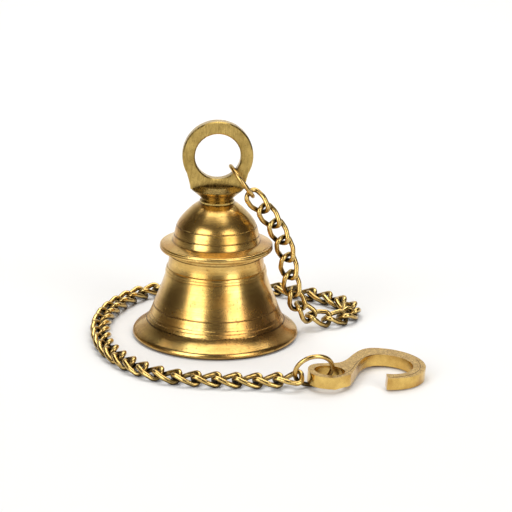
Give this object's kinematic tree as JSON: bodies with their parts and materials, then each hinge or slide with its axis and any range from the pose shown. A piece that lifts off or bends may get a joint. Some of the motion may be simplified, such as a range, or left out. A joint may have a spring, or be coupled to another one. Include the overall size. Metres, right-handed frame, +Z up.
{
  "type": "temple bell",
  "caption": "Hanging brass temple bell with turned bands, crown ring, swinging clapper, long curb chain and flat hook.",
  "frame": {"origin": "on the bell's axis in the plane of its mouth, which is also the plane the chain and the hook lie on", "axes": "+Z up the bell's axis through the crown ring, -Y towards the front, +X towards the side the chain hangs down"},
  "size_m": [0.1778, 0.1669, 0.1186],
  "materials": {
    "bell_brass": "polished",
    "crown_brass": "satin",
    "chain_brass": "aged",
    "hook_brass": "cast",
    "fastener_brass": "satin",
    "clapper_brass": "cast"
  },
  "bodies": {
    "bell": {"bell_shell": "bell_brass", "crown_ring": "crown_brass", "stem_washer": "fastener_brass", "stem_nut": "fastener_brass"},
    "clapper_link": {"clapper_link": "clapper_brass"},
    "clapper": {"clapper_rod": "clapper_brass", "clapper_ball": "clapper_brass"},
    "upper_jump_ring": {"upper_jump_ring": "chain_brass"},
    "chain_link_01": {"chain_link_01": "chain_brass"},
    "chain_link_02": {"chain_link_02": "chain_brass"},
    "chain_link_03": {"chain_link_03": "chain_brass"},
    "chain_link_04": {"chain_link_04": "chain_brass"},
    "chain_link_05": {"chain_link_05": "chain_brass"},
    "chain_link_06": {"chain_link_06": "chain_brass"},
    "chain_link_07": {"chain_link_07": "chain_brass"},
    "chain_link_08": {"chain_link_08": "chain_brass"},
    "chain_link_09": {"chain_link_09": "chain_brass"},
    "chain_link_10": {"chain_link_10": "chain_brass"},
    "chain_link_11": {"chain_link_11": "chain_brass"},
    "chain_link_12": {"chain_link_12": "chain_brass"},
    "chain_link_13": {"chain_link_13": "chain_brass"},
    "chain_link_14": {"chain_link_14": "chain_brass"},
    "chain_link_15": {"chain_link_15": "chain_brass"},
    "chain_link_16": {"chain_link_16": "chain_brass"},
    "chain_link_17": {"chain_link_17": "chain_brass"},
    "chain_link_18": {"chain_link_18": "chain_brass"},
    "chain_link_19": {"chain_link_19": "chain_brass"},
    "chain_link_20": {"chain_link_20": "chain_brass"},
    "chain_link_21": {"chain_link_21": "chain_brass"},
    "chain_link_22": {"chain_link_22": "chain_brass"},
    "chain_link_23": {"chain_link_23": "chain_brass"},
    "chain_link_24": {"chain_link_24": "chain_brass"},
    "chain_link_25": {"chain_link_25": "chain_brass"},
    "chain_link_26": {"chain_link_26": "chain_brass"},
    "chain_link_27": {"chain_link_27": "chain_brass"},
    "chain_link_28": {"chain_link_28": "chain_brass"},
    "chain_link_29": {"chain_link_29": "chain_brass"},
    "chain_link_30": {"chain_link_30": "chain_brass"},
    "chain_link_31": {"chain_link_31": "chain_brass"},
    "chain_link_32": {"chain_link_32": "chain_brass"},
    "chain_link_33": {"chain_link_33": "chain_brass"},
    "chain_link_34": {"chain_link_34": "chain_brass"},
    "chain_link_35": {"chain_link_35": "chain_brass"},
    "chain_link_36": {"chain_link_36": "chain_brass"},
    "chain_link_37": {"chain_link_37": "chain_brass"},
    "chain_link_38": {"chain_link_38": "chain_brass"},
    "chain_link_39": {"chain_link_39": "chain_brass"},
    "chain_link_40": {"chain_link_40": "chain_brass"},
    "chain_link_41": {"chain_link_41": "chain_brass"},
    "chain_link_42": {"chain_link_42": "chain_brass"},
    "chain_link_43": {"chain_link_43": "chain_brass"},
    "chain_link_44": {"chain_link_44": "chain_brass"},
    "chain_link_45": {"chain_link_45": "chain_brass"},
    "chain_link_46": {"chain_link_46": "chain_brass"},
    "lower_jump_ring": {"lower_jump_ring": "chain_brass"},
    "hook": {"hook": "hook_brass"}
  },
  "joints": [
    {"name": "clapper_link_swing", "type": "hinge", "parent": "bell", "child": "clapper_link", "pos_m": [0, 0, 0.0564], "axis": [0, 1, 0], "range_deg": [-22, 22]},
    {"name": "clapper_rod_swing", "type": "hinge", "parent": "clapper_link", "child": "clapper", "pos_m": [0, 0, 0.05022], "axis": [1, 0, 0], "range_deg": [-22, 22]},
    {"name": "upper_jump_ring_turn", "type": "hinge", "parent": "bell", "child": "upper_jump_ring", "pos_m": [0.00699, 0.00031, 0.09392], "axis": [-0.0231, -0.9987, -0.0459], "range_deg": [-0.5, 25]},
    {"name": "chain_link_01_turn", "type": "hinge", "parent": "upper_jump_ring", "child": "chain_link_01", "pos_m": [0.0182, -0.0032, 0.0794], "axis": [0.0231, 0.9987, 0.0459], "range_deg": [-25, 0.5]},
    {"name": "chain_link_02_turn", "type": "hinge", "parent": "chain_link_01", "child": "chain_link_02", "pos_m": [0.02503, -0.003, 0.07156], "axis": [-0.0145, -0.9964, -0.0837], "range_deg": [-0.9, 25]},
    {"name": "chain_link_03_turn", "type": "hinge", "parent": "chain_link_02", "child": "chain_link_03", "pos_m": [0.03107, -0.00238, 0.06312], "axis": [0.0343, 0.9939, 0.1047], "range_deg": [-25, 1.4]},
    {"name": "chain_link_04_turn", "type": "hinge", "parent": "chain_link_03", "child": "chain_link_04", "pos_m": [0.0356, -0.00155, 0.05379], "axis": [-0.0539, -0.9918, -0.1155], "range_deg": [-3.6, 25]},
    {"name": "chain_link_05_turn", "type": "hinge", "parent": "chain_link_04", "child": "chain_link_05", "pos_m": [0.03841, -0.00054, 0.04383], "axis": [-0.0509, 0.9944, 0.0927], "range_deg": [-25, 5.4]},
    {"name": "chain_link_06_turn", "type": "hinge", "parent": "chain_link_05", "child": "chain_link_06", "pos_m": [0.03991, 0.00049, 0.03359], "axis": [0.1989, -0.9742, -0.1061], "range_deg": [-6.3, 25]},
    {"name": "chain_link_07_turn", "type": "hinge", "parent": "chain_link_06", "child": "chain_link_07", "pos_m": [0.04183, 0.00198, 0.02348], "axis": [-0.4981, 0.8649, 0.0612], "range_deg": [-25, 9]},
    {"name": "chain_link_08_turn", "type": "hinge", "parent": "chain_link_07", "child": "chain_link_08", "pos_m": [0.04549, 0.00475, 0.01414], "axis": [0.7198, -0.5982, 0.3521], "range_deg": [-25, 25]},
    {"name": "chain_link_09_turn", "type": "hinge", "parent": "chain_link_08", "child": "chain_link_09", "pos_m": [0.0522, 0.00881, 0.00732], "axis": [-0.4181, 0.4277, -0.8014], "range_deg": [-18, 25]},
    {"name": "chain_link_10_turn", "type": "hinge", "parent": "chain_link_09", "child": "chain_link_10", "pos_m": [0.06141, 0.01286, 0.00468], "axis": [0.1755, -0.197, 0.9646], "range_deg": [-25, 18]},
    {"name": "chain_link_11_turn", "type": "hinge", "parent": "chain_link_10", "child": "chain_link_11", "pos_m": [0.0704, 0.01806, 0.0041], "axis": [0, 0, -1], "range_deg": [-14.4, 25]},
    {"name": "chain_link_12_turn", "type": "hinge", "parent": "chain_link_11", "child": "chain_link_12", "pos_m": [0.07586, 0.0269, 0.00364], "axis": [0, 0, 1], "range_deg": [-25, 12.6]},
    {"name": "chain_link_13_turn", "type": "hinge", "parent": "chain_link_12", "child": "chain_link_13", "pos_m": [0.07554, 0.03729, 0.00338], "axis": [0, 0, -1], "range_deg": [-12.6, 25]},
    {"name": "chain_link_14_turn", "type": "hinge", "parent": "chain_link_13", "child": "chain_link_14", "pos_m": [0.07032, 0.04629, 0.0034], "axis": [0, 0, 1], "range_deg": [-25, 10.8]},
    {"name": "chain_link_15_turn", "type": "hinge", "parent": "chain_link_14", "child": "chain_link_15", "pos_m": [0.06274, 0.05341, 0.0034], "axis": [0, 0, -1], "range_deg": [-10.8, 25]},
    {"name": "chain_link_16_turn", "type": "hinge", "parent": "chain_link_15", "child": "chain_link_16", "pos_m": [0.05398, 0.05902, 0.0034], "axis": [0, 0, 1], "range_deg": [-25, 9]},
    {"name": "chain_link_17_turn", "type": "hinge", "parent": "chain_link_16", "child": "chain_link_17", "pos_m": [0.04466, 0.06363, 0.0034], "axis": [0, 0, -1], "range_deg": [-9, 25]},
    {"name": "chain_link_18_turn", "type": "hinge", "parent": "chain_link_17", "child": "chain_link_18", "pos_m": [0.03495, 0.06735, 0.0034], "axis": [0, 0, 1], "range_deg": [-25, 9]},
    {"name": "chain_link_19_turn", "type": "hinge", "parent": "chain_link_18", "child": "chain_link_19", "pos_m": [0.0249, 0.07003, 0.0034], "axis": [0, 0, -1], "range_deg": [-9, 25]},
    {"name": "chain_link_20_turn", "type": "hinge", "parent": "chain_link_19", "child": "chain_link_20", "pos_m": [0.01466, 0.07185, 0.0034], "axis": [0, 0, 1], "range_deg": [-25, 7.2]},
    {"name": "chain_link_21_turn", "type": "hinge", "parent": "chain_link_20", "child": "chain_link_21", "pos_m": [0.00431, 0.07281, 0.0034], "axis": [0, 0, -1], "range_deg": [-7.2, 25]},
    {"name": "chain_link_22_turn", "type": "hinge", "parent": "chain_link_21", "child": "chain_link_22", "pos_m": [-0.00609, 0.07251, 0.0034], "axis": [0, 0, 1], "range_deg": [-25, 7.2]},
    {"name": "chain_link_23_turn", "type": "hinge", "parent": "chain_link_22", "child": "chain_link_23", "pos_m": [-0.01632, 0.07066, 0.0034], "axis": [0, 0, -1], "range_deg": [-7.2, 25]},
    {"name": "chain_link_24_turn", "type": "hinge", "parent": "chain_link_23", "child": "chain_link_24", "pos_m": [-0.02621, 0.06743, 0.0034], "axis": [0, 0, 1], "range_deg": [-25, 7.2]},
    {"name": "chain_link_25_turn", "type": "hinge", "parent": "chain_link_24", "child": "chain_link_25", "pos_m": [-0.03554, 0.06283, 0.0034], "axis": [0, 0, -1], "range_deg": [-9, 25]},
    {"name": "chain_link_26_turn", "type": "hinge", "parent": "chain_link_25", "child": "chain_link_26", "pos_m": [-0.04359, 0.05626, 0.0034], "axis": [0, 0, 1], "range_deg": [-25, 9]},
    {"name": "chain_link_27_turn", "type": "hinge", "parent": "chain_link_26", "child": "chain_link_27", "pos_m": [-0.04978, 0.0479, 0.0034], "axis": [0, 0, -1], "range_deg": [-9, 25]},
    {"name": "chain_link_28_turn", "type": "hinge", "parent": "chain_link_27", "child": "chain_link_28", "pos_m": [-0.0546, 0.03868, 0.0034], "axis": [0, 0, 1], "range_deg": [-25, 10.8]},
    {"name": "chain_link_29_turn", "type": "hinge", "parent": "chain_link_28", "child": "chain_link_29", "pos_m": [-0.05835, 0.02898, 0.0034], "axis": [0, 0, -1], "range_deg": [-12.6, 25]},
    {"name": "chain_link_30_turn", "type": "hinge", "parent": "chain_link_29", "child": "chain_link_30", "pos_m": [-0.06096, 0.01891, 0.0034], "axis": [0, 0, 1], "range_deg": [-25, 14.4]},
    {"name": "chain_link_31_turn", "type": "hinge", "parent": "chain_link_30", "child": "chain_link_31", "pos_m": [-0.06236, 0.00861, 0.0034], "axis": [0, 0, -1], "range_deg": [-18, 25]},
    {"name": "chain_link_32_turn", "type": "hinge", "parent": "chain_link_31", "child": "chain_link_32", "pos_m": [-0.06257, -0.00179, 0.0034], "axis": [0, 0, 1], "range_deg": [-25, 19.8]},
    {"name": "chain_link_33_turn", "type": "hinge", "parent": "chain_link_32", "child": "chain_link_33", "pos_m": [-0.0617, -0.01215, 0.0034], "axis": [0, 0, -1], "range_deg": [-19.8, 25]},
    {"name": "chain_link_34_turn", "type": "hinge", "parent": "chain_link_33", "child": "chain_link_34", "pos_m": [-0.06001, -0.02242, 0.0034], "axis": [0, 0, 1], "range_deg": [-25, 19.8]},
    {"name": "chain_link_35_turn", "type": "hinge", "parent": "chain_link_34", "child": "chain_link_35", "pos_m": [-0.05742, -0.03249, 0.0034], "axis": [0, 0, -1], "range_deg": [-19.8, 25]},
    {"name": "chain_link_36_turn", "type": "hinge", "parent": "chain_link_35", "child": "chain_link_36", "pos_m": [-0.05362, -0.04217, 0.0034], "axis": [0, 0, 1], "range_deg": [-25, 19.8]},
    {"name": "chain_link_37_turn", "type": "hinge", "parent": "chain_link_36", "child": "chain_link_37", "pos_m": [-0.04866, -0.05131, 0.0034], "axis": [0, 0, -1], "range_deg": [-19.8, 25]},
    {"name": "chain_link_38_turn", "type": "hinge", "parent": "chain_link_37", "child": "chain_link_38", "pos_m": [-0.04273, -0.05985, 0.0034], "axis": [0, 0, 1], "range_deg": [-25, 19.8]},
    {"name": "chain_link_39_turn", "type": "hinge", "parent": "chain_link_38", "child": "chain_link_39", "pos_m": [-0.03563, -0.06745, 0.0034], "axis": [0, 0, -1], "range_deg": [-19.8, 25]},
    {"name": "chain_link_40_turn", "type": "hinge", "parent": "chain_link_39", "child": "chain_link_40", "pos_m": [-0.0272, -0.07354, 0.0034], "axis": [0, 0, 1], "range_deg": [-25, 25]},
    {"name": "chain_link_41_turn", "type": "hinge", "parent": "chain_link_40", "child": "chain_link_41", "pos_m": [-0.01767, -0.0777, 0.0034], "axis": [0, 0, -1], "range_deg": [-25, 25]},
    {"name": "chain_link_42_turn", "type": "hinge", "parent": "chain_link_41", "child": "chain_link_42", "pos_m": [-0.00747, -0.07976, 0.00342], "axis": [0, 0, 1], "range_deg": [-25, 25]},
    {"name": "chain_link_43_turn", "type": "hinge", "parent": "chain_link_42", "child": "chain_link_43", "pos_m": [0.00291, -0.08043, 0.00339], "axis": [0, 0, -1], "range_deg": [-25, 25]},
    {"name": "chain_link_44_turn", "type": "hinge", "parent": "chain_link_43", "child": "chain_link_44", "pos_m": [0.0133, -0.08062, 0.00333], "axis": [0, 0, 1], "range_deg": [-25, 25]},
    {"name": "chain_link_45_turn", "type": "hinge", "parent": "chain_link_44", "child": "chain_link_45", "pos_m": [0.0237, -0.08092, 0.00348], "axis": [0, 0, -1], "range_deg": [-25, 25]},
    {"name": "chain_link_46_turn", "type": "hinge", "parent": "chain_link_45", "child": "chain_link_46", "pos_m": [0.03404, -0.08166, 0.00428], "axis": [0, 0, 1], "range_deg": [-25, 25]},
    {"name": "lower_jump_ring_turn", "type": "hinge", "parent": "chain_link_46", "child": "lower_jump_ring", "pos_m": [0.04416, -0.08271, 0.00642], "axis": [0, 0, -1], "range_deg": [-25, 25]},
    {"name": "hook_turn", "type": "hinge", "parent": "lower_jump_ring", "child": "hook", "pos_m": [0.051, -0.081, 0.0058], "axis": [0, 0, 1], "range_deg": [-25, 25]}
  ]
}
